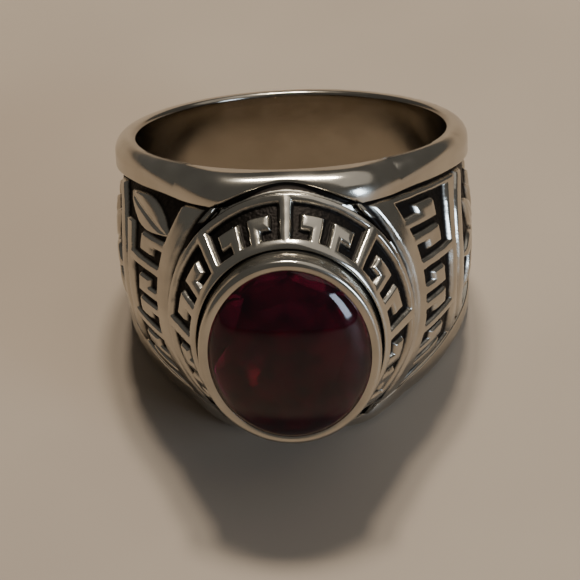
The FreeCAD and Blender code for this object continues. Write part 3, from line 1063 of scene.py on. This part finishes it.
def red_glass():
    """Deep red glass with darker clouds in it."""
    recipe = Recipe("red_glass")
    shader = recipe.shader
    cloud = recipe.span(recipe.spots(**STONE_CLOUDS), *STONE_CLOUD_SPAN)
    recipe.feed(shader.inputs["Base Color"], recipe.mix(cloud, STONE_TINT, STONE_SHADE))
    shader.inputs["Transmission Weight"].default_value = STONE_CLEAR
    shader.inputs["IOR"].default_value = STONE_IOR
    shader.inputs["Specular IOR Level"].default_value = STONE_SPECULAR
    wear = recipe.span(recipe.spots(**STONE_WEAR), *STONE_WEAR_SPAN, STONE_SMOOTH, STONE_ROUGH)
    recipe.feed(shader.inputs["Roughness"], wear)
    return recipe.material


red_stone.data.materials.append(red_glass())
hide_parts("stone")
print("red glass on", red_stone.name)

# %% [markdown]
# The floor
#
# The ring lies on a pale, smooth table top. Much of what the polished metal shows is this
# floor, so its colour matters more than its look: a plain sheet in two close tones is
# enough. It lies a hair below the ring, so that the two surfaces don't flicker together.

# %% Lay the floor
FLOOR_HALF = 2.0
FLOOR_SINK = 0.00002
FLOOR_ROUGH = 0.6
FLOOR_PALE = (0.41, 0.335, 0.262, 1.0)
FLOOR_SHADE = (0.375, 0.305, 0.24, 1.0)
FLOOR_CLOUDS = {"size_mm": 25.0, "detail": 3.0}
FLOOR_CLOUD_SPAN = (0.3, 0.7)


def floor_sheet():
    """One flat square on the floor, and its material."""
    mesh = bpy.data.meshes.new("floor")
    half = FLOOR_HALF
    corners = [(-half, -half, 0), (half, -half, 0), (half, half, 0), (-half, half, 0)]
    mesh.from_pydata(corners, [], [(0, 1, 2, 3)])
    sheet = bpy.data.objects.new("floor", mesh)
    bpy.context.scene.collection.objects.link(sheet)
    sheet.location.z = -FLOOR_SINK
    recipe = Recipe("pale_floor")
    recipe.shader.inputs["Roughness"].default_value = FLOOR_ROUGH
    cloudy = recipe.span(recipe.spots(**FLOOR_CLOUDS), *FLOOR_CLOUD_SPAN)
    recipe.feed(recipe.shader.inputs["Base Color"], recipe.mix(cloudy, FLOOR_PALE, FLOOR_SHADE))
    mesh.materials.append(recipe.material)
    return sheet


floor = floor_sheet()
print("floor laid,", 2 * FLOOR_HALF, "m wide")

# %% [markdown]
# The light
#
# Polished metal is mostly a picture of its room, so the light is half of the finish. In the
# photograph two warm lamps high behind the ring put spots on the band and throw the shadow
# forward, and a window in front on the right shows as one cool patch on the stone. A single
# large light would be softer still, but the silver would turn flat and grey. So there are
# two small lamps, one window, and one wide weak light that stands for the room.

# %% Hang the lights
RING_MIDDLE = Vector((0.0, 0.0, 0.008))
WARM, COOL, NEUTRAL = (1.0, 0.89, 0.74), (0.66, 0.81, 1.0), (1.0, 0.93, 0.84)
WORLD_COLOUR, WORLD_STRENGTH = (0.80, 0.76, 0.69, 1.0), 0.125
# Angles in degrees, azimuth 0 in front and 90 to the right; sizes in metres, power in watts
LIGHTS = {
    "lamp_left": {"at": (186, 63), "away": 0.45, "size": (0.045, 0.045), "power": 0.98, "colour": WARM},
    "lamp_right": {"at": (168, 63), "away": 0.45, "size": (0.045, 0.045), "power": 0.98, "colour": WARM},
    "window": {"at": (56, 17), "away": 0.40, "size": (0.11, 0.17), "power": 0.75, "colour": COOL},
    "room": {"at": (130, 60), "away": 0.6, "size": (0.9, 0.6), "power": 0.75, "colour": NEUTRAL},
}


def soft_light(name, at, away, size, power, colour):
    """Rectangular light that looks at the ring."""
    data = bpy.data.lights.new(name, "AREA")
    data.shape = "RECTANGLE"
    data.size, data.size_y = size
    data.energy = power
    data.color = colour
    light = bpy.data.objects.new(name, data)
    bpy.context.scene.collection.objects.link(light)
    azimuth, elevation = map(math.radians, at)
    flat = math.cos(elevation)
    toward = Vector((math.sin(azimuth) * flat, -math.cos(azimuth) * flat, math.sin(elevation)))
    light.location = RING_MIDDLE + toward * away
    light.rotation_euler = toward.to_track_quat("Z", "Y").to_euler()


for name, settings in LIGHTS.items():
    soft_light(name, **settings)
world = bpy.data.worlds.new("studio")
world.use_nodes = True
background = world.node_tree.nodes["Background"]
background.inputs["Color"].default_value = WORLD_COLOUR
background.inputs["Strength"].default_value = WORLD_STRENGTH
bpy.context.scene.world = world
print("lights:", ", ".join(LIGHTS))

# %% [markdown]
